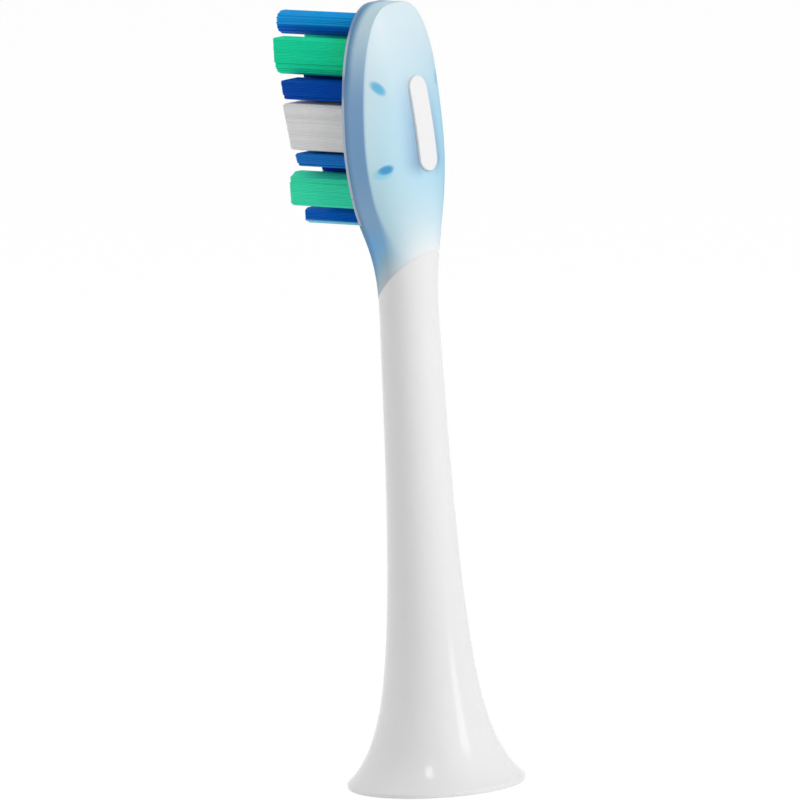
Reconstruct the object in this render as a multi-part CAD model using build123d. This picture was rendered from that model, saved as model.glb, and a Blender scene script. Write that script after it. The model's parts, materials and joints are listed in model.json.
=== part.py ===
"""Click-on brush head for an electric toothbrush.

Millimetres, +Z up the neck. The origin is the centre of the skirt's rim, on the plane that it stands on.
The bristles point to -Y, the domed back of the head to +Y, and the part is the same on both sides of X = 0.
Left and right are as seen from the bristle side, so right is +X.
"""

import math
import os
from collections import namedtuple

from build123d import *

# Overall length, from the rim to the toe
overall_length = 76.0

# Neck and flared skirt
base_radius = 8.6
rim_lip = 0.4
rim_softening = 0.12
flare_core_radius = 2.1
flare_knee = 6.0
flare_points = 6
skirt_wall = 1.1

# Head outline, seen from the front
head_half_width = 5.68
toe_length = 13.0
swell_length = 16.0
toe_flat = 0.55
toe_power = 2.3

# Head section, from the flat front to the domed back
front_depth = 2.17
rim_back = 0.58
flat_run = 9.5
crown_hump = 3.6
crown_hump_drop = 4.5
crown_lead_in = 1.0
crown_toe = 0.75
crown_power = 1.8
head_lead_in = 2.0
head_sections = 24

# Seam between the neck and the cover: a slanted plane, low at the front
seam_rise = 4.2
seam_angle = 40.7

# Core of the neck inside the cover, with the rib that shows on the back. Depths are below the toe
cover_wall = 1.1
core_toe_depth = 4.4
core_edge = 0.5
core_sections = 12
rib_depth = 7.0
rib_length = 9.15
rib_width = 2.45
rib_proud = 0.3
rib_softening = 0.12
window_radius = 0.7
window_offset = 3.3
window_depths = (7.7, 15.4)

# Bristle plate
face_trim = 0.01
flange_thickness = 0.3
boss_depth = 1.2
boss_inset = 0.9
plate_clearance = 0.04
heel_curve_depth = 18.5
heel_curve_drop = 4.7
field_points = 8

# Tufts: bundles of filaments with fused roots behind the plate
tuft_gap = 0.3
tuft_margin = 0.25
tuft_clearance = 0.03
tuft_corner = 0.25
root_thickness = 0.45
root_spacing = 0.06
root_play = 0.11

# Each column of tufts from the toe down: the gap above, the length along the head, and how far the lowest
# and the highest filaments stand out of the plate. A side tuft's outer corners are rounded by a share of its
# width, and a middle tuft has a half width and is a block or an oval
SideTuft = namedtuple("SideTuft", "name gap length low_stand high_stand low_round high_round")
MiddleTuft = namedtuple("MiddleTuft", "name gap length half_width low_stand high_stand oval")
side_inner = 1.4
side_tufts = (
    SideTuft("upper_green", 3.5, 3.65, 10.4, 10.4, 0.68, 0.06),
    SideTuft("upper_blue", tuft_gap, 1.92, 8.6, 8.85, 0.18, 0.05),
    SideTuft("white", tuft_gap, 4.48, 7.8, 8.6, 0.05, 0.05),
    SideTuft("lower_blue", tuft_gap, 1.25, 7.15, 7.5, 0.09, 0.06),
    SideTuft("lower_green", 0.8, 3.25, 9.1, 9.15, 0.13, 0.48),
)
middle_tufts = (
    MiddleTuft("toe", 1.19, 2.42, 1.03, 11.8, 11.8, True),
    MiddleTuft("upper_middle", 0.59, 2.3, 1.0, 8.7, 8.9, True),
    MiddleTuft("upper_blue_middle", 0.4, 2.47, 1.1, 8.4, 8.7, False),
    MiddleTuft("white_middle", tuft_gap, 4.48, 1.1, 7.8, 8.6, False),
    MiddleTuft("lower_blue_middle", tuft_gap, 2.35, 0.95, 7.0, 7.4, False),
    MiddleTuft("lower_middle", 0.4, 2.3, 0.95, 7.8, 7.6, True),
    MiddleTuft("heel", 0.78, 1.6, 0.8, 9.85, 9.85, True),
)

# Drive socket
collar_seat = 6.2
collar_thickness = 1.2
collar_overhang = 0.85
socket_wall = 0.7
socket_end_wall = 1.0
seat_clearance = 0.05
guide_radius = 2.15
guide_length = 5.0
bore_step = 0.3
bore_depth = 13.0
bore_flat = 1.45
mouth_chamfer = 0.3
key_width = 1.0
key_height = 0.3
key_length = 6.0

# Spring clip in the socket's flat
clip_thickness = 0.25
clip_width = 2.0
clip_length = 6.4
clip_bow = 0.15
clip_slot_depth = 0.65
clip_clearance = 0.1

# Larger than the whole part, for cutting blocks
reach = 2 * overall_length

# Heights along the head
widest_height = overall_length - toe_length
merge_height = widest_height - swell_length
head_start = merge_height - head_lead_in
crown_hump_height = widest_height - crown_hump_drop
heel_curve_height = overall_length - heel_curve_depth

# Planes across the head, from the bristle side
plate_front = face_trim - front_depth
flange_back = plate_front + flange_thickness
plate_back = flange_back + boss_depth
core_front = plate_back + root_thickness + root_play

# The socket's outer sizes
barrel_radius = guide_radius + socket_wall
barrel_length = bore_depth - collar_thickness + socket_end_wall
collar_radius = barrel_radius + collar_overhang
collar_low = collar_seat - collar_thickness
clip_middle = collar_low + (guide_length + bore_depth) / 2
clip_slot_back = -bore_flat - clip_slot_depth

centred_above = (Align.CENTER, Align.CENTER, Align.MIN)


def flare_radius(height):
    """Outer radius of the neck: a hyperbola from the rim up to the slim neck."""
    return flare_core_radius + (base_radius - flare_core_radius) / (1 + (height - rim_lip) / flare_knee)


neck_radius = flare_radius(head_start)


def ease(value, low, high):
    """Smooth step from 0 at low to 1 at high."""
    share = min(max((value - low) / (high - low), 0), 1)
    return share * share * (3 - 2 * share)


def half_width(height, inset=0.0, top=overall_length):
    """Half the head's width, drawn in by inset: a cosine swell out of the neck, then a rounded toe."""
    widest = head_half_width - inset
    narrow = neck_radius - inset
    if height >= widest_height:
        share = min((height - widest_height) / (top - inset - widest_height), 1)
        return toe_flat + (widest - toe_flat) * (1 - share**toe_power) ** (1 / toe_power)
    turn = min((widest_height - height) / swell_length, 1)
    return narrow + (widest - narrow) * (1 + math.cos(math.pi * turn)) / 2


def crown(height):
    """How far the domed back stands off the neck's axis, along X = 0."""
    if height < crown_hump_height:
        rise = ease(height, merge_height - crown_lead_in, crown_hump_height)
        return neck_radius + (crown_hump - neck_radius) * rise
    share = (height - crown_hump_height) / (overall_length - crown_hump_height)
    return crown_hump - (crown_hump - crown_toe) * share**crown_power


def stations(low, top, count):
    """Heights from low to top, closer together at both ends."""
    turns = [math.pi * i / count for i in range(count + 1)]
    return [low + (top - low) * (1 - math.cos(turn)) / 2 for turn in turns]


def mirrored(point):
    """The same point on the other side of X = 0."""
    return Vector(-point.X, point.Y, point.Z)


def arc_or_line(start, middle, end):
    """An arc through three points, or a line where the middle one lies between the others."""
    straight = middle == (start + end) / 2
    return Line(start, end) if straight else ThreePointArc(start, middle, end)


def head_section(height, proud):
    """One section of the head: round like the neck at first, then a flat front, upright sides and a dome."""
    flat = ease(height, merge_height, merge_height + flat_run)
    width = half_width(height)

    def blend(turn, flat_x, flat_y):
        round_point = Vector(neck_radius * math.cos(turn), -neck_radius * math.sin(turn), height)
        return round_point * (1 - flat) + Vector(flat_x, flat_y, height) * flat

    edge = Vector(width, rim_back * flat, height)
    side = blend(math.pi / 8, width, (rim_back - front_depth) / 2)
    corner = blend(math.pi / 4, width, -front_depth)
    front = blend(math.pi / 2, 0, -front_depth)
    back = Vector(0, crown(height) + proud, height)
    return Wire(
        [
            ThreePointArc(edge, back, mirrored(edge)),
            arc_or_line(mirrored(edge), mirrored(side), mirrored(corner)),
            arc_or_line(mirrored(corner), front, corner),
            arc_or_line(corner, side, edge),
        ]
    )


def head_body(proud=0.0):
    """The head's outer form, raised at the back by proud."""
    heights = stations(head_start, overall_length, head_sections)
    return Solid.make_loft([head_section(z, proud) for z in heights])


def core_section(height):
    """Section of the core: the dome and sides drawn in by the cover's wall, with a flat front."""
    width = half_width(height, cover_wall, overall_length - core_toe_depth + cover_wall)
    edge = Vector(width, core_front + core_edge, height)
    corner = Vector(width, core_front, height)
    return Wire(
        [
            ThreePointArc(edge, (0, crown(height) - cover_wall, height), mirrored(edge)),
            Line(mirrored(edge), mirrored(corner)),
            Line(mirrored(corner), corner),
            Line(corner, edge),
        ]
    )


def front_prism(outline, front, back):
    """A sketch of X across and Z up, raised into a solid between two planes across Y."""
    upright = Plane(origin=(0, back, 0), x_dir=(1, 0, 0), z_dir=(0, -1, 0))
    return extrude(upright * outline, back - front)


def above_seam():
    """Everything on the cover's side of the slanted seam."""
    block = Box(reach, reach, reach, align=centred_above)
    return Pos(0, 0, head_start + seam_rise) * Rot(seam_angle, 0, 0) * block


def heel_curve(inset):
    """The lower end of the bristle field: half an ellipse from side to side."""
    half = half_width(heel_curve_height, inset)
    return EllipticalCenterArc((0, heel_curve_height), half, heel_curve_drop - inset, 180, arc_size=180)


def flange_field():
    """Everything over the plate's flange: open at the sides and the toe, closed at the heel."""
    heel = heel_curve(0)
    right, left = (reach, heel_curve_height), (-reach, heel_curve_height)
    return make_face(heel + Polyline(heel @ 1, right, (reach, reach), (-reach, reach), left, heel @ 0))


def boss_outline(inset):
    """Outline of the plate's boss, drawn in from the head's outline on all sides."""
    heights = stations(heel_curve_height, overall_length - inset, field_points)
    right = Spline([(half_width(z, inset), z) for z in heights])
    left = Spline([(-half_width(z, inset), z) for z in heights])
    return make_face(heel_curve(inset) + right + left + Line(right @ 1, left @ 1))


def neck_outer():
    """The neck below the head, turned about Z."""
    rise = head_start - rim_lip
    heights = [rim_lip + rise * (i / flare_points) ** 2 for i in range(flare_points + 1)]
    flare = Spline([(flare_radius(z), z) for z in heights])
    rim = Polyline(flare @ 0, (base_radius, 0), (0, 0), (0, head_start), flare @ 1)
    turned = revolve(Plane.XZ * make_face(flare + rim), Axis.Z)
    return fillet(turned.edges().filter_by(GeomType.CIRCLE).sort_by(Axis.Z)[:2], rim_softening)


def skirt_hollow():
    """The hollow under the socket, which follows the flare at the skirt's wall."""
    rise = collar_seat - rim_lip
    heights = [rim_lip + rise * i / flare_points for i in range(flare_points + 1)]
    wall = Spline([(flare_radius(z) - skirt_wall, z) for z in heights])
    ends = Polyline(wall @ 1, (0, collar_seat), (0, 0), (base_radius - skirt_wall, 0), wall @ 0)
    return revolve(Plane.XZ * make_face(wall + ends), Axis.Z)


def socket_body(clearance):
    """The socket's outer form: a collar under the seat, and a barrel with a key on each side in the neck."""
    radius = barrel_radius + clearance
    barrel = Cylinder(radius, barrel_length + clearance, align=centred_above)
    key_size = 2 * (radius + key_height), key_width + 2 * clearance, key_length + clearance
    keys = Box(*key_size, align=centred_above)
    collar = Cylinder(collar_radius + clearance, collar_thickness, align=centred_above)
    return Pos(0, 0, collar_seat) * (barrel + keys) + Pos(0, 0, collar_low) * collar


def rib():
    """The capsule that shows on the back: it stands off the core and just past the dome."""
    middle = overall_length - rib_depth - rib_length / 2
    outline = Pos(0, middle) * SlotOverall(rib_length, rib_width, rotation=90)
    capsule = front_prism(outline, core_front, reach) & head_body(proud=rib_proud)
    back = capsule.faces().sort_by(Axis.Y)[-1]
    return fillet(back.edges(), rib_softening)


def core():
    """The tongue of the neck inside the cover, with windows that lock the cover to it."""
    heights = stations(head_start, overall_length - core_toe_depth, core_sections)
    tongue = Solid.make_loft([core_section(z) for z in heights]) + rib()
    for depth in window_depths:
        for side in (-1, 1):
            window = Pos(side * window_offset, overall_length - depth) * Circle(window_radius)
            tongue -= front_prism(window, -reach, reach)
    return tongue


def neck_shaft(head, tongue):
    """The white neck: skirt, neck and core in one piece."""
    lower = neck_outer() + (head - above_seam())
    return lower + tongue - skirt_hollow() - socket_body(seat_clearance)


def head_cover(head, tongue):
    """The cover round the core, open at the front for the plate and its tufts."""
    pocket = front_prism(boss_outline(boss_inset), -reach, core_front)
    recess = front_prism(flange_field(), -reach, flange_back)
    return (head & above_seam()) - tongue - recess - pocket


def bristle_plate(head, holes):
    """The plate: a thin flange flush with the rim, and a boss that fills the pocket."""
    flange = head & front_prism(flange_field(), plate_front, flange_back)
    plate = flange + front_prism(boss_outline(boss_inset + plate_clearance), plate_front, plate_back)
    for hole in holes:
        plate -= front_prism(hole(tuft_clearance), -reach, reach)
    return plate


def block_outline(inner, outer, low, high, corners):
    """A function that draws a block's outline, grown on all sides by what it is given."""

    def outline(grow):
        left, right = inner - grow, outer + grow
        points = [(left, low - grow), (right, low - grow), (right, high + grow), (left, high + grow)]
        radii = [corner + grow for corner in corners]
        return make_face(FilletPolyline(points, radius=radii, close=True))

    return outline


def mirrored_outline(outline):
    """The same outline on the other side of X = 0."""
    return lambda grow: mirror(outline(grow), Plane.YZ)


def oval_outline(half, low, high):
    """A function that draws an oval on X = 0, grown on all sides by what it is given."""
    return lambda grow: Pos(0, (low + high) / 2) * Ellipse(half + grow, (high - low) / 2 + grow)


def placed_tufts():
    """Every tuft by name: its outline, and how far its lowest and highest filaments stand out."""
    placed = {}
    high = overall_length
    for row in side_tufts:
        high -= row.gap
        low = high - row.length
        outer = min(half_width(z, boss_inset) for z in (low, high)) - tuft_margin
        width = outer - side_inner
        corners = tuft_corner, row.low_round * width, row.high_round * width, tuft_corner
        right = block_outline(side_inner, outer, low, high, corners)
        placed[f"{row.name}_right_tuft"] = (right, row.low_stand, row.high_stand)
        placed[f"{row.name}_left_tuft"] = (mirrored_outline(right), row.low_stand, row.high_stand)
        high = low
    high = overall_length
    for row in middle_tufts:
        high -= row.gap
        low = high - row.length
        if row.oval:
            outline = oval_outline(row.half_width, low, high)
        else:
            outline = block_outline(-row.half_width, row.half_width, low, high, [tuft_corner] * 4)
        placed[f"{row.name}_tuft"] = (outline, row.low_stand, row.high_stand)
        high = low
    return placed


def tuft(outline, low_stand, high_stand):
    """A bundle of filaments with its fused root behind the plate and its tip trimmed on a slant."""
    bundle = front_prism(outline(0), plate_front - max(low_stand, high_stand), plate_back)
    box = bundle.bounding_box()
    trim_angle = math.degrees(math.atan2(high_stand - low_stand, box.max.Z - box.min.Z))
    tip = Pos(0, plate_front - (low_stand + high_stand) / 2, box.center().Z) * Rot(trim_angle, 0, 0)
    bundle -= tip * Box(reach, reach, reach, align=(Align.CENTER, Align.MAX, Align.CENTER))
    root_grow = (tuft_gap - root_spacing) / 2
    return bundle + front_prism(outline(root_grow), plate_back, plate_back + root_thickness)


def drive_bore():
    """The bore for the drive shaft: a round guide at the mouth, then a flat on the bristle side."""
    guide = Cylinder(guide_radius, guide_length, align=centred_above)
    past_flat = Pos(0, -bore_flat, 0) * Box(reach, reach, reach, align=(Align.CENTER, Align.MIN, Align.MIN))
    deep = Cylinder(guide_radius - bore_step, bore_depth, align=centred_above) & past_flat
    mouth = Cone(guide_radius + mouth_chamfer, guide_radius, mouth_chamfer, align=centred_above)
    return Pos(0, 0, collar_low) * (guide + deep + mouth)


def clip_slot():
    """The slot behind the bore's flat that holds the clip."""
    length = clip_length + 2 * clip_clearance
    width = clip_width + 2 * clip_clearance
    block = Box(width, clip_slot_depth + bore_flat, length, align=(Align.CENTER, Align.MIN, Align.CENTER))
    return Pos(0, clip_slot_back, clip_middle) * block


def shaft_socket():
    """The hard insert in the skirt that takes the drive shaft."""
    return socket_body(0) - drive_bore() - clip_slot()


def shaft_clip():
    """A bowed leaf of spring steel: its ends rest in the slot and its middle stands into the bore."""

    def bow(depth):
        ends = [(clip_slot_back + depth, side * clip_length / 2) for side in (-1, 1)]
        return ThreePointArc(ends[0], (clip_bow - bore_flat - clip_thickness + depth, 0), ends[1])

    outer, inner = bow(0), bow(clip_thickness)
    leaf = make_face(inner + outer + Line(inner @ 0, outer @ 0) + Line(inner @ 1, outer @ 1))
    return extrude(Plane.YZ.offset(-clip_width / 2) * Pos(0, clip_middle) * leaf, clip_width)


def build():
    """Every piece by its node name."""
    head = head_body()
    tongue = core()
    tufts = placed_tufts()
    pieces = {
        "neck_shaft": neck_shaft(head, tongue),
        "head_cover": head_cover(head, tongue),
        "bristle_plate": bristle_plate(head, [outline for outline, _, _ in tufts.values()]),
        "shaft_socket": shaft_socket(),
        "shaft_clip": shaft_clip(),
    }
    for name, (outline, low_stand, high_stand) in tufts.items():
        pieces[name] = tuft(outline, low_stand, high_stand)
    return pieces


os.makedirs("parts", exist_ok=True)
for node, piece in build().items():
    export_step(piece, f"parts/{node}.step")
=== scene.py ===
"""Looks of a click-on brush head for an electric toothbrush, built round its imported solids.

The frame is in metres: +Z up the neck, the bristles to -Y and the domed back to +Y. Sizes here are in
millimetres and become metres through MM, and colours are written as they show on a screen, from 0 to 255.
"""

import json
import math
import random

import bpy
from mathutils import Matrix, Vector
from mathutils.bvhtree import BVHTree


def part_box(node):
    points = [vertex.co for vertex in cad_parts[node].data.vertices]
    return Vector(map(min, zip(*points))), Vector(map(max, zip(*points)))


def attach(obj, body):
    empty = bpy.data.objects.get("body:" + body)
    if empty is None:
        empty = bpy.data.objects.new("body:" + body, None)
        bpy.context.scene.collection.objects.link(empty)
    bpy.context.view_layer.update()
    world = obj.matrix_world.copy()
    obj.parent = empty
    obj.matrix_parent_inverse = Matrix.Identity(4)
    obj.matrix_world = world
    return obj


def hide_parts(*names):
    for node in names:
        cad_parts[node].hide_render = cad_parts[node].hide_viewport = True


MM = 0.001

# The photograph's view: turned round the neck, a little above it and rolled
VIEW_AZIMUTH = math.radians(131)
VIEW_ELEVATION = math.radians(8.5)
VIEW_ROLL = math.radians(-3.36)
VIEW_DISTANCE = 1500
VIEW_REACH = 100000
AIM_HEIGHT = 37.487
AIM_ACROSS = -1.365
PICTURE_PIXELS = 800
FOCAL_PIXELS = 15608

# Light: how bright the room and the floor are, and how much of the floor's own shade the camera sees
ROOM_LIGHT = 0.36
FLOOR_WIDTH = 6000
FLOOR_DROP = 0.02
FLOOR_SHADE_SEEN = 0.1
FLOOR_GLOW = 1.05
FLOOR_PAPER = (0.9, 0.9, 0.9, 1)
WHITE_LIGHT = (1, 1, 1, 1)

# Places on the head that its colours follow
RIM_EDGE = 0.58
RIB_MIDDLE = 64.43
RIB_STRAIGHT_HALF = 3.35
RIB_RADIUS = 1.22
SEAM_MIDDLE = 49.2
SEAM_SLOPE = math.tan(math.radians(40.7))

# Windows of the core: across and up on the head, lean in degrees, half length and half width
UPPER_WINDOW = (4.25, 68.25, 52, 1.0, 0.54)
LOWER_WINDOW = (4.32, 60.42, -25, 0.7, 0.5)
# A painted glow round the lower window, in the same terms
LOWER_WINDOW_PAINTED_GLOW = (4.5, 60.1, -25, 0.85, 0.65)
WINDOW_SOFTNESS = (0.15, 1.15)

# The cover's own colour: the share of red, green and blue that comes back through it, and that its skin keeps
COVER_TINT = (0.725, 0.916, 0.994, 1.0)
COVER_SKIN_TINT = (0.84, 0.93, 0.965, 1.0)

# Filaments
FILAMENT_RADIUS = 0.08
FILAMENT_PITCH = 0.148
FILAMENT_SIDES = 8
FILAMENT_SHADING = 0.08
TIP_ROUNDING = ((0.0, 0.35), (0.02, 0.75), (0.06, 1.0))
TIP_UNEVENNESS = 0.04
TIP_LEAN = 0.004
FILAMENT_SEED = 4
PROBE_TURNS = (0, 1.57, 3.14, 4.71)
PROBE_REACH = 0.98

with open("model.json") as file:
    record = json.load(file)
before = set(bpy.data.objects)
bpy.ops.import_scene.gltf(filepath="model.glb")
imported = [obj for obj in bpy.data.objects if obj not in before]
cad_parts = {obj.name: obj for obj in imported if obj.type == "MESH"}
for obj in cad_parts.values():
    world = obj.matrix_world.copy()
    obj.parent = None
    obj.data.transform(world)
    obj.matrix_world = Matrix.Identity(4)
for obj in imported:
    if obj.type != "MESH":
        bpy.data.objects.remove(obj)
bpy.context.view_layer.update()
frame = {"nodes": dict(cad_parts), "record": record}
nodes = frame["nodes"]


def screen_colour(red, green, blue):
    """A colour as it shows on a screen, as the linear colour that a shader takes."""
    shares = [part / 255 for part in (red, green, blue)]
    linear = [share / 12.92 if share <= 0.04045 else ((share + 0.055) / 1.055) ** 2.4 for share in shares]
    return (*linear, 1.0)


class Value:
    """A node's output. Sums on it add Math nodes."""

    def __init__(self, shader, output):
        self.shader = shader
        self.output = output

    def math(self, operation, *terms):
        return self.shader.node("ShaderNodeMath", {"operation": operation}, dict(enumerate(terms)))

    def __add__(self, other):
        return self.math("ADD", self, other)

    def __radd__(self, other):
        return self.math("ADD", other, self)

    def __sub__(self, other):
        return self.math("SUBTRACT", self, other)

    def __rsub__(self, other):
        return self.math("SUBTRACT", other, self)

    def __mul__(self, other):
        return self.math("MULTIPLY", self, other)

    def __rmul__(self, other):
        return self.math("MULTIPLY", other, self)

    def __truediv__(self, other):
        return self.math("DIVIDE", self, other)

    def __pow__(self, other):
        return self.math("POWER", self, other)

    def __abs__(self):
        return self.math("ABSOLUTE", self)

    def at_least(self, other):
        return self.math("MAXIMUM", self, other)

    def at_most(self, other):
        return self.math("MINIMUM", self, other)

    def ease(self, low, high):
        """Smooth step from 0 at low to 1 at high."""
        ends = {"Value": self, "From Min": low, "From Max": high}
        return self.shader.node("ShaderNodeMapRange", {"interpolation_type": "SMOOTHSTEP"}, ends)


class Shader:
    """A node tree of a material or the world."""

    def __init__(self, owner):
        owner.use_nodes = True
        self.owner = owner
        self.tree = owner.node_tree
        self.tree.nodes.clear()

    def node(self, kind, settings, inputs, output=0):
        """A node with its settings, then its sockets' values or links. Gives one of its outputs, if any."""
        made = self.tree.nodes.new(kind)
        for name, value in settings.items():
            setattr(made, name, value)
        for name, value in inputs.items():
            if isinstance(value, Value):
                self.tree.links.new(value.output, made.inputs[name])
            else:
                made.inputs[name].default_value = value
        return Value(self, made.outputs[output]) if made.outputs else None

    def place(self):
        """Where a point lies on the object, as a vector in millimetres."""
        coordinates = self.node("ShaderNodeTexCoord", {}, {}, "Object")
        return self.node("ShaderNodeVectorMath", {"operation": "SCALE"}, {0: coordinates, "Scale": 1 / MM})

    def parts(self, vector, axes):
        """A vector's parts along some axes, such as "XYZ"."""
        return [self.node("ShaderNodeSeparateXYZ", {}, {0: vector}, axis) for axis in axes]

    def noise(self, vector, size):
        """Soft noise from 0 to 1 with lumps of a size in millimetres."""
        return self.node("ShaderNodeTexNoise", {}, {"Vector": vector, "Scale": 1 / size})

    def mix(self, share, first, second, blend="MIX"):
        """A colour that goes from the first to the second by a share.

        With blend MULTIPLY it goes to the first as seen through the second.
        """
        settings = {"data_type": "RGBA", "blend_type": blend}
        return self.node("ShaderNodeMix", settings, {0: share, 6: first, 7: second}, 2)

    def relief(self, height, depth, edge):
        """A surface normal with edges rounded to a radius, and bumps that are depth millimetres high."""
        rounded = self.node("ShaderNodeBevel", {"samples": 4}, {"Radius": edge * MM})
        bump = {"Height": height, "Distance": depth * MM, "Normal": rounded}
        return self.node("ShaderNodeBump", {}, bump)

    def plastic(self, **sockets):
        """Ends the tree in a principled surface."""
        inputs = {name.replace("_", " ").title(): value for name, value in sockets.items()}
        inputs = {name.replace("Ior", "IOR"): value for name, value in inputs.items()}
        self.end(self.node("ShaderNodeBsdfPrincipled", {}, inputs))
        return self.owner

    def end(self, surface):
        of_world = isinstance(self.owner, bpy.types.World)
        kind = "ShaderNodeOutputWorld" if of_world else "ShaderNodeOutputMaterial"
        self.node(kind, {}, {"Surface": surface})

    def seen(self):
        """1 for the camera and for what it sees in gloss or through clear plastic.

        It is 0 for light that falls on surfaces.
        """
        camera, glossy, through = (
            self.node("ShaderNodeLightPath", {}, {}, f"Is {ray} Ray")
            for ray in ("Camera", "Glossy", "Transmission")
        )
        return (camera + glossy + through).at_most(1)


def new_material(name):
    return Shader(bpy.data.materials.new(name))


def add_object(name, data):
    made = bpy.data.objects.new(name, data)
    bpy.context.scene.collection.objects.link(made)
    return made


def neck_white():
    """Glossy moulded white: faint flow marks, a slightly uneven gloss and a fine orange peel."""
    shader = new_material("neck_white")
    place = shader.place()
    flow = shader.noise(place, size=9)
    peel = shader.noise(place, size=0.35)
    return shader.plastic(
        base_color=shader.mix(flow, screen_colour(241, 241, 242), screen_colour(245, 245, 245)),
        roughness=0.12 + 0.05 * flow,
        normal=shader.relief(peel, depth=0.001, edge=0.02),
    )


def window(side, z, across, up, lean, half_length, half_width):
    """1 inside a soft oval, 0 outside it. Its long axis leans up from across by degrees."""
    lean = math.radians(lean)
    outward, upward = side - across, z - up
    lengthwise = (outward * math.cos(lean) + upward * math.sin(lean)) / half_length
    crosswise = (upward * math.cos(lean) - outward * math.sin(lean)) / half_width
    return 1 - (lengthwise * lengthwise + crosswise * crosswise).ease(*WINDOW_SOFTNESS)


def behind_dome(shader, x, z, thinning, upper_window):
    """Through the back: white with painted shade in the middle and by the rib, a painted glow and the core's
    windows.
    """
    side = abs(x)
    along = (abs(z - RIB_MIDDLE) - RIB_STRAIGHT_HALF).at_least(0)
    from_rib = (x * x + along * along) ** 0.5 - RIB_RADIUS
    # Painted shade along both sides of the rib
    painted_shade_beside_rib = (1 - from_rib.ease(-0.3, 2.0)) * side.ease(0.6, 1.4)
    painted_shade_beside_rib = painted_shade_beside_rib * z.ease(58.8, 60.8) * (1 - z.ease(59, 71.5))
    # Painted shade in the middle of the dome, over the rib
    middle = (1 - side.ease(1, 4)) * (1 - z.ease(66, 69.5)) * (1 - thinning)
    middle = middle * (0.3 + 0.7 * z.ease(58.5, 61.5))
    # A painted glow, lighter and cyan, round the lower window
    lower_painted_glow = 0.6 * window(side, z, *LOWER_WINDOW_PAINTED_GLOW)
    lower_window = window(side, z, *LOWER_WINDOW)

    by_neck, by_toe = screen_colour(247, 252, 255), screen_colour(241, 244, 247)
    colour = shader.mix(z.ease(63, 70), by_neck, by_toe)
    colour = shader.mix(middle, colour, screen_colour(227, 235, 246))
    colour = shader.mix(painted_shade_beside_rib, colour, screen_colour(180, 190, 213))
    colour = shader.mix(upper_window, colour, screen_colour(116, 194, 229))
    colour = shader.mix(lower_painted_glow, colour, screen_colour(166, 238, 252))
    return shader.mix(lower_window, colour, screen_colour(102, 180, 226))


def behind_rim(shader, y, z, above_seam):
    """What shows through the upright rim: blue above the seam, then greyer, pale at the toe, with painted
    shade by the plate.
    """
    at_seam, over_seam = screen_colour(212, 212, 215), screen_colour(163, 205, 245)
    by_heel, by_middle = screen_colour(190, 204, 231), screen_colour(171, 194, 227)
    low = shader.mix(above_seam.ease(0.8, 4.6), at_seam, over_seam)
    colour = shader.mix(z.ease(55, 61), by_heel, by_middle)
    colour = shader.mix(z.ease(66, 76), colour, screen_colour(236, 249, 255))
    colour = shader.mix(z.ease(52.5, 55.5), low, colour)

    # Painted shade along the rim next to the bristle plate
    rim_front_painted_shade = 0.3 * (1 - y.ease(-1.9, -1.1))
    colour = shader.mix(rim_front_painted_shade, colour, screen_colour(40, 70, 120))
    # More painted shade by the plate towards the toe
    toe_rise = 0.15 * z.ease(72, 75)
    toe_painted_shade_by_plate = z.ease(65.5, 70) * (1 - y.ease(toe_rise - 1.95, toe_rise - 0.75))
    return shader.mix(toe_painted_shade_by_plate, colour, screen_colour(106, 156, 200))


def cover_blue():
    """A translucent blue tint over white: thin at the toe and seam, deep on the rim, with painted shade by
    the rib.
    """
    shader = new_material("cover_blue")
    place = shader.place()
    x, y, z = shader.parts(place, "XYZ")
    flow = shader.noise(place, size=5)

    above_seam = z - (SEAM_MIDDLE + SEAM_SLOPE * y)
    thinning = (1 - above_seam / 9).at_least(0) ** 2 * y.ease(0.6, 3.0)
    thinning = thinning.at_least(0.6 * (1 - above_seam.ease(0, 2.5)))
    upper_window = window(abs(x), z, *UPPER_WINDOW)

    blur = 1 - z.ease(50, 56)
    edge = RIM_EDGE + 0.4 * (1 - z.ease(53, 58))
    over_edge = y.ease(edge - 0.2 - 0.9 * blur, edge + 0.2 + 1.2 * blur)
    dome = behind_dome(shader, x, z, thinning, upper_window)
    behind = shader.mix(over_edge, behind_rim(shader, y, z, above_seam), dome)
    depth = (1 - 0.55 * z.ease(62, 75)) * (1 - thinning) * (1 - 0.7 * upper_window)
    # Painted highlight: a paler strip on the dome next to the rim's edge, where the tint is thinner
    depth = depth * (1 - 0.2 * over_edge * (1 - y.ease(0.6, 1.9)) * z.ease(57, 62))
    return shader.plastic(
        base_color=shader.mix(depth, behind, COVER_TINT, "MULTIPLY"),
        roughness=0.24 + 0.1 * flow,
        specular_ior_level=0.28,
        coat_weight=depth,
        coat_tint=COVER_SKIN_TINT,
        coat_ior=1.02,
        coat_roughness=0.25,
        subsurface_weight=0.2,
        subsurface_radius=(0.6, 0.9, 1.2),
        subsurface_scale=MM,
        normal=shader.relief(flow, depth=0.004, edge=0.03),
    )


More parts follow.
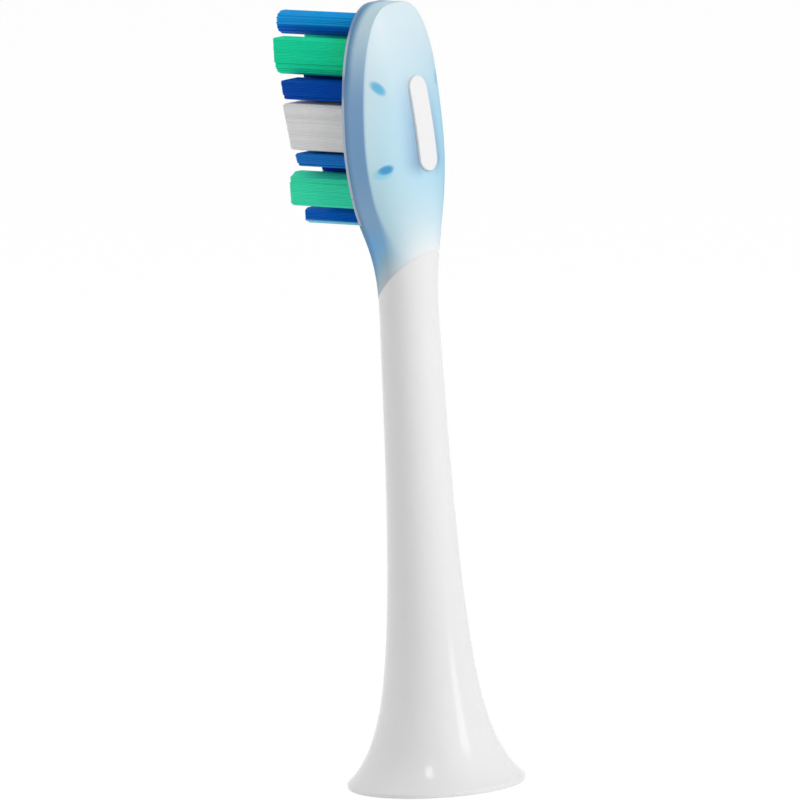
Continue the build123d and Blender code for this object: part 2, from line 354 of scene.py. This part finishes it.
def plate_matt_white():
    """Matt white of the moulded bristle plate; its edge has painted shade and painted blue reflection of
    tufts and cover.
    """
    shader = new_material("plate_matt_white")
    place = shader.place()
    [z] = shader.parts(place, "Z")
    grain = shader.noise(place, size=0.2)
    normal = shader.node("ShaderNodeNewGeometry", {}, {}, "Normal")
    [forward] = shader.parts(normal, "Y")
    # The plate's side faces, with painted shade and painted blue reflection of the cover
    edge = 1 - abs(forward).ease(0.3, 0.8)
    # Painted blue reflection of the upper blue tuft and the toe tuft on the side faces
    painted_blue_by_tufts = z.ease(72.5, 74).at_least(1 - abs(z - 68.3).ease(0.5, 1.6))
    white = shader.mix(grain, screen_colour(228, 236, 246), screen_colour(234, 241, 249))
    white = shader.mix(0.5 * edge, white, screen_colour(130, 158, 194))
    return shader.plastic(
        base_color=shader.mix(0.6 * edge * painted_blue_by_tufts, white, screen_colour(78, 118, 172)),
        roughness=0.45 + 0.1 * grain,
        normal=shader.relief(grain, depth=0.003, edge=0.05),
    )


def socket_natural():
    """Unpigmented hard plastic with a spark eroded grain."""
    shader = new_material("socket_natural")
    place = shader.place()
    grain = shader.noise(place, size=0.12)
    cloud = shader.noise(place, size=3)
    return shader.plastic(
        base_color=shader.mix(cloud, screen_colour(226, 224, 214), screen_colour(236, 235, 228)),
        roughness=0.5 + 0.15 * grain,
        normal=shader.relief(grain, depth=0.006, edge=0.06),
    )


def clip_steel():
    """Cold rolled steel with marks along the leaf."""
    shader = new_material("clip_steel")
    drawn_out = {0: shader.place(), 1: (1, 1, 0.04)}
    stretched = shader.node("ShaderNodeVectorMath", {"operation": "MULTIPLY"}, drawn_out)
    marks = shader.noise(stretched, size=0.05)
    return shader.plastic(
        base_color=shader.mix(marks, screen_colour(176, 178, 181), screen_colour(208, 209, 211)),
        metallic=1.0,
        roughness=0.22 + 0.16 * marks,
        normal=shader.relief(marks, depth=0.002, edge=0.03),
    )


def nylon(shader, colour):
    """Nylon filaments, each a little lighter or darker than the next."""
    each = shader.node("ShaderNodeNewGeometry", {}, {}, "Random Per Island")
    return shader.plastic(
        base_color=shader.mix(FILAMENT_SHADING * each, colour, screen_colour(0, 0, 0)),
        roughness=0.35 + 0.12 * each,
        specular_ior_level=0.06,
    )


def nylon_blue():
    """Deep blue with painted shade low in the middle, and painted light on the outer sides of the tufts at
    the two ends.
    """
    shader = new_material("nylon_blue")
    x, z = shader.parts(shader.place(), "XZ")
    # Painted shade low in the middle of the field, painted light on the outer sides of the lower tufts
    low = 1 - z.ease(61, 66)
    low_side_painted_light = abs(x).ease(1.4, 1.5) * low
    colour = shader.mix(low, screen_colour(0, 86, 196), screen_colour(0, 60, 192))
    colour = shader.mix(low_side_painted_light, colour, screen_colour(34, 134, 224))

    # Painted light on the toe tuft's upper, outer part
    toe_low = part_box("toe_tuft")[0].z / MM
    toe_painted_light = z.ease(toe_low + 1.0, toe_low + 1.35)
    toe = shader.mix(toe_painted_light, screen_colour(8, 112, 228), screen_colour(32, 180, 255))
    colour = shader.mix(z.ease(toe_low - 0.1, toe_low), colour, toe)

    # Painted light on the heel tuft's lower, outer part, painted shade above it
    heel_low, heel_high = (corner.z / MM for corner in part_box("heel_tuft"))
    heel_painted_shade = z.ease(heel_low + 0.3, heel_low + 0.6)
    heel = shader.mix(heel_painted_shade, screen_colour(150, 238, 255), screen_colour(0, 110, 220))
    colour = shader.mix(z.ease(heel_high, heel_high + 0.1), heel, colour)
    return nylon(shader, colour)


def nylon_green():
    """Sea green, with a little painted shade towards the plate."""
    shader = new_material("nylon_green")
    y, z = shader.parts(shader.place(), "YZ")
    # A little painted shade on the upper tufts towards the plate
    upper = shader.mix(y.ease(-7, -3), screen_colour(32, 247, 189), screen_colour(39, 246, 178))
    return nylon(shader, shader.mix(z.ease(60, 66), screen_colour(72, 252, 204), upper))


def nylon_white():
    """Natural white nylon."""
    return nylon(new_material("nylon_white"), screen_colour(253, 253, 253))


def spread(first, last, step):
    """Even places from first to last, about a step apart."""
    count = max(round((last - first) / step), 1)
    return [first + (last - first) * i / count for i in range(count + 1)]


def filament_places(node):
    """Where a tuft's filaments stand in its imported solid.

    Gives the X, Z and tip of each one, and how far their roots reach along Y.
    """
    low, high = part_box(node)
    mesh = nodes[node].data
    points = [vertex.co for vertex in mesh.vertices]
    solid = BVHTree.FromPolygons(points, [face.vertices[:] for face in mesh.polygons])
    radius, pitch = FILAMENT_RADIUS * MM, FILAMENT_PITCH * MM
    plate_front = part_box("bristle_plate")[0].y

    def tip_at(across, up):
        hit = solid.ray_cast(Vector((across, low.y - MM, up)), Vector((0, 1, 0)))[0]
        return hit.y if hit and hit.y < plate_front else None

    free = [point for point in points if point.y < plate_front]
    left, right = min(point.x for point in free), max(point.x for point in free)
    bottom, top = min(point.z for point in free), max(point.z for point in free)
    probes = [(math.cos(turn) * radius, math.sin(turn) * radius) for turn in PROBE_TURNS]
    places = []
    for row, across in enumerate(spread(left + radius, right - radius, pitch * math.sqrt(3) / 2)):
        columns = spread(bottom + radius, top - radius, pitch)
        if row % 2:
            columns = [(a + b) / 2 for a, b in zip(columns, columns[1:])]
        for up in columns:
            if all(tip_at(across + PROBE_REACH * x, up + PROBE_REACH * z) for x, z in probes):
                places.append((across, up, tip_at(across, up)))
    return places, high.y


def filament_tuft(node, material):
    """A bundle of round filaments with rounded tips that stands for a packed tuft."""
    places, root = filament_places(node)
    turns = [2 * math.pi * side / FILAMENT_SIDES for side in range(FILAMENT_SIDES)]
    points, faces = [], []
    for across, up, tip in places:
        tip += random.uniform(0, TIP_UNEVENNESS) * MM
        lean = [random.gauss(0, TIP_LEAN) * MM for _ in range(2)]
        rings = [(tip + depth * MM, share, 1) for depth, share in TIP_ROUNDING] + [(root, 1, 0)]
        start = len(points)
        for along, share, leaning in rings:
            reach = share * FILAMENT_RADIUS * MM
            for turn in turns:
                x = across + lean[0] * leaning + math.cos(turn) * reach
                z = up + lean[1] * leaning + math.sin(turn) * reach
                points.append((x, along, z))
        for ring in range(len(rings) - 1):
            near = start + ring * FILAMENT_SIDES
            far = near + FILAMENT_SIDES
            for side in range(FILAMENT_SIDES):
                after = (side + 1) % FILAMENT_SIDES
                faces.append((near + side, far + side, far + after, near + after))
        faces.append(tuple(range(start, start + FILAMENT_SIDES)))
        faces.append(tuple(reversed(range(len(points) - FILAMENT_SIDES, len(points)))))
    mesh = bpy.data.meshes.new(f"{node}_filaments")
    mesh.from_pydata(points, [], faces)
    mesh.polygons.foreach_set("use_smooth", [True] * len(faces))
    mesh.materials.append(material)
    piece = add_object(f"{node}_filaments", mesh)
    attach(piece, "root")
    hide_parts(node)


def view_axes():
    """Right, up and back of a level camera at the photograph's angle."""
    level = math.cos(VIEW_ELEVATION)
    back_x, back_y = math.sin(VIEW_AZIMUTH) * level, -math.cos(VIEW_AZIMUTH) * level
    back = Vector((back_x, back_y, math.sin(VIEW_ELEVATION)))
    right = Vector((0, 0, 1)).cross(back).normalized()
    return right, back.cross(right), back


def add_camera():
    right, up, back = view_axes()
    across = right * math.cos(VIEW_ROLL) + up * math.sin(VIEW_ROLL)
    upward = up * math.cos(VIEW_ROLL) - right * math.sin(VIEW_ROLL)
    aim = Vector((0, 0, AIM_HEIGHT)) + right * AIM_ACROSS
    camera = add_object("camera", bpy.data.cameras.new("camera"))
    turned = Matrix((across, upward, back)).transposed().to_4x4()
    camera.matrix_world = Matrix.Translation((aim + back * VIEW_DISTANCE) * MM) @ turned
    camera.data.lens = FOCAL_PIXELS / PICTURE_PIXELS * camera.data.sensor_width
    camera.data.clip_end = VIEW_REACH * MM
    bpy.context.scene.camera = camera


def add_lamp(name, turn, rise, distance, width, height, brightness, glints):
    """A soft box, turned to the right of the camera and raised by angles, that faces the middle of the neck.

    One without glints lights surfaces and isn't mirrored in them.
    """
    right, _, back = view_axes()
    level_back = Vector((back.x, back.y, 0)).normalized()
    turn, rise = math.radians(turn), math.radians(rise)
    level = level_back * math.cos(turn) + right * math.sin(turn)
    away = level * math.cos(rise) + Vector((0, 0, math.sin(rise)))
    lamp = add_object(name, bpy.data.lights.new(name, "AREA"))
    lamp.data.shape = "RECTANGLE"
    lamp.data.size, lamp.data.size_y = width * MM, height * MM
    lamp.data.energy = brightness * math.pi * lamp.data.size * lamp.data.size_y
    lamp.location = (Vector((0, 0, AIM_HEIGHT)) + away * distance) * MM
    lamp.rotation_euler = away.to_track_quat("Z", "Y").to_euler()
    lamp.visible_glossy = glints


def add_world():
    """White to the eye, dimmer as light on the object."""
    world = bpy.data.worlds.new("room")
    bpy.context.scene.world = world
    shader = Shader(world)
    strength = ROOM_LIGHT + (1 - ROOM_LIGHT) * shader.seen()
    shader.end(shader.node("ShaderNodeBackground", {}, {"Color": WHITE_LIGHT, "Strength": strength}))


def add_floor():
    """A white floor that keeps a share of the shade that falls on it."""
    half, low = FLOOR_WIDTH / 2 * MM, -FLOOR_DROP * MM
    mesh = bpy.data.meshes.new("floor")
    corners = [(-half, -half, low), (half, -half, low), (half, half, low), (-half, half, low)]
    mesh.from_pydata(corners, [], [(0, 1, 2, 3)])
    shader = new_material("floor_white")
    paper = shader.node("ShaderNodeBsdfDiffuse", {}, {"Color": FLOOR_PAPER})
    white = shader.node("ShaderNodeEmission", {}, {"Color": WHITE_LIGHT, "Strength": FLOOR_GLOW})
    share = (1 - FLOOR_SHADE_SEEN) * shader.seen()
    shader.end(shader.node("ShaderNodeMixShader", {}, {0: share, 1: paper, 2: white}))
    mesh.materials.append(shader.owner)
    add_object("floor", mesh)


def dress(node, material):
    """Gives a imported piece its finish."""
    nodes[node].data.materials.clear()
    nodes[node].data.materials.append(material)


add_camera()
add_world()
add_floor()
add_lamp("key", turn=52, rise=30, distance=700, width=600, height=600, brightness=2.05, glints=False)
add_lamp("fill", turn=-110, rise=15, distance=700, width=400, height=600, brightness=2.1, glints=False)
add_lamp("strip", turn=62, rise=14, distance=600, width=175, height=330, brightness=2.1, glints=True)
add_lamp("spark", turn=-14, rise=52, distance=600, width=75, height=140, brightness=5.5, glints=True)

dress("neck_shaft", neck_white())
dress("head_cover", cover_blue())
dress("bristle_plate", plate_matt_white())
dress("shaft_socket", socket_natural())
dress("shaft_clip", clip_steel())

random.seed(FILAMENT_SEED)
bristles = {
    "blue_bristles": nylon_blue(),
    "green_bristles": nylon_green(),
    "white_bristles": nylon_white(),
}
for subpart in frame["record"]["subparts"]:
    slot = subpart["material_slot"]
    if slot in bristles:
        filament_tuft(subpart["node"], bristles[slot])

bpy.context.scene.view_settings.view_transform = "Standard"
